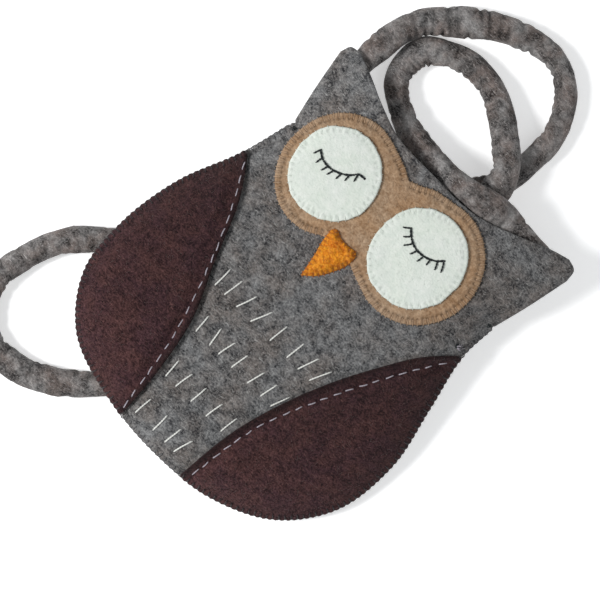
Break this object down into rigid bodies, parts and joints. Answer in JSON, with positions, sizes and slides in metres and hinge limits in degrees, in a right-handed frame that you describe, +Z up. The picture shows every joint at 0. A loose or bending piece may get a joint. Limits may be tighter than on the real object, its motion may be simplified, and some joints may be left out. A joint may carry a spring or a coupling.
{
  "type": "felt shoulder bag",
  "caption": "Flat owl-shaped felt shoulder bag lying on its back, with sewn wings, eye mask, padded beak, open mouth and a long rolled felt strap.",
  "frame": {"origin": "bottom centre of the bag's box, without the strap, where it lies on its back", "axes": "+Z up out of the owl's front, +Y towards the ears, +X the owl's left side"},
  "size_m": [0.2414, 0.3577, 0.0374],
  "materials": {
    "body_felt": "matte wool felt, grey marl",
    "wing_felt": "matte wool felt, dark brown",
    "tan_felt": "matte wool felt, tan",
    "white_felt": "matte wool felt, white",
    "orange_felt": "matte wool felt, orange",
    "strap_felt": "matte rolled wool felt, brownish grey",
    "white_thread": "soft cotton thread, white",
    "lilac_thread": "soft cotton thread, pale",
    "grey_thread": "soft cotton thread, grey",
    "brown_thread": "soft cotton thread, dark brown",
    "tan_thread": "soft cotton thread, tan",
    "orange_thread": "soft cotton thread, orange",
    "lash_thread": "soft cotton thread, near black"
  },
  "bodies": {
    "bag": {"back_panel": "body_felt", "front_panel": "body_felt", "wing_left": "wing_felt", "wing_right": "wing_felt", "wing_stitching_left": "lilac_thread", "wing_stitching_right": "lilac_thread", "eye_mask": "tan_felt", "eye_mask_stitching": "tan_thread", "eye_left": "white_felt", "eye_right": "white_felt", "eye_stitching_left": "white_thread", "eye_stitching_right": "white_thread", "eyelashes_left": "lash_thread", "eyelashes_right": "lash_thread", "beak": "orange_felt", "beak_stitching": "orange_thread", "belly_stitches": "white_thread", "edge_stitching_body": "grey_thread", "edge_stitching_wings": "brown_thread", "seam_knots": "lash_thread", "strap": "strap_felt", "strap_end_left": "strap_felt", "strap_end_right": "strap_felt", "strap_stitching_left": "grey_thread", "strap_stitching_right": "grey_thread"},
    "face": {"face_flap": "body_felt"}
  },
  "joints": [
    {"name": "mouth_fold", "type": "hinge", "parent": "bag", "child": "face", "pos_m": [0, 0.067, 0.0322], "axis": [1, 0, 0], "range_deg": [0, 50], "deforming": ["eye_mask", "eye_mask_stitching", "eye_left", "eye_right", "eye_stitching_left", "eye_stitching_right", "eyelashes_left", "eyelashes_right"]}
  ]
}
